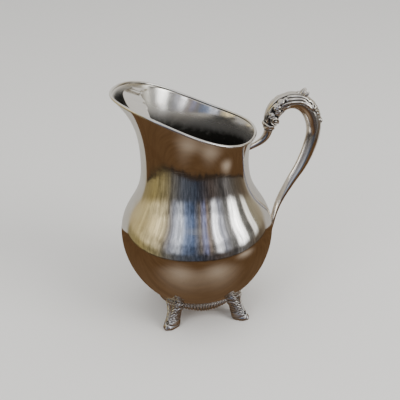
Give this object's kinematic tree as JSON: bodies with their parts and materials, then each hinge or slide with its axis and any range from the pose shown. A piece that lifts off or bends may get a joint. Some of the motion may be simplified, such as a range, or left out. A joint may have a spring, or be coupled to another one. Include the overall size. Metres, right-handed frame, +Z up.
{
  "type": "water pitcher",
  "caption": "Footed silver-plated water pitcher with a wide raised spout, an ice guard across it, a high scrolled hollow handle and cast feet.",
  "frame": {"origin": "middle of the whole pitcher from spout to handle and from side to side, on the surface it stands on", "axes": "+Z up, -X towards the spout, +X towards the handle, -Y to the left of a person who holds the handle and pours"},
  "size_m": [0.2013, 0.15, 0.2384],
  "materials": {
    "polished_silver": "polished silver plate, faintly tarnished, with fine wiping scratches",
    "bright_silver": "bright polished silver plate",
    "cast_silver": "polished cast silver plate with dark oxidised recesses",
    "oxidised_silver": "cast silver plate, bright on its high points and oxidised black in its recesses"
  },
  "bodies": {
    "root": {"body_shell": "polished_silver", "rim_wire": "bright_silver", "ice_guard": "bright_silver", "handle_left_half": "cast_silver", "handle_right_half": "cast_silver", "foot_spout_left": "oxidised_silver", "foot_spout_right": "oxidised_silver", "foot_handle_right": "oxidised_silver", "foot_handle_left": "oxidised_silver", "border_left": "oxidised_silver", "border_spout": "oxidised_silver", "border_right": "oxidised_silver", "border_handle": "oxidised_silver"}
  },
  "joints": []
}
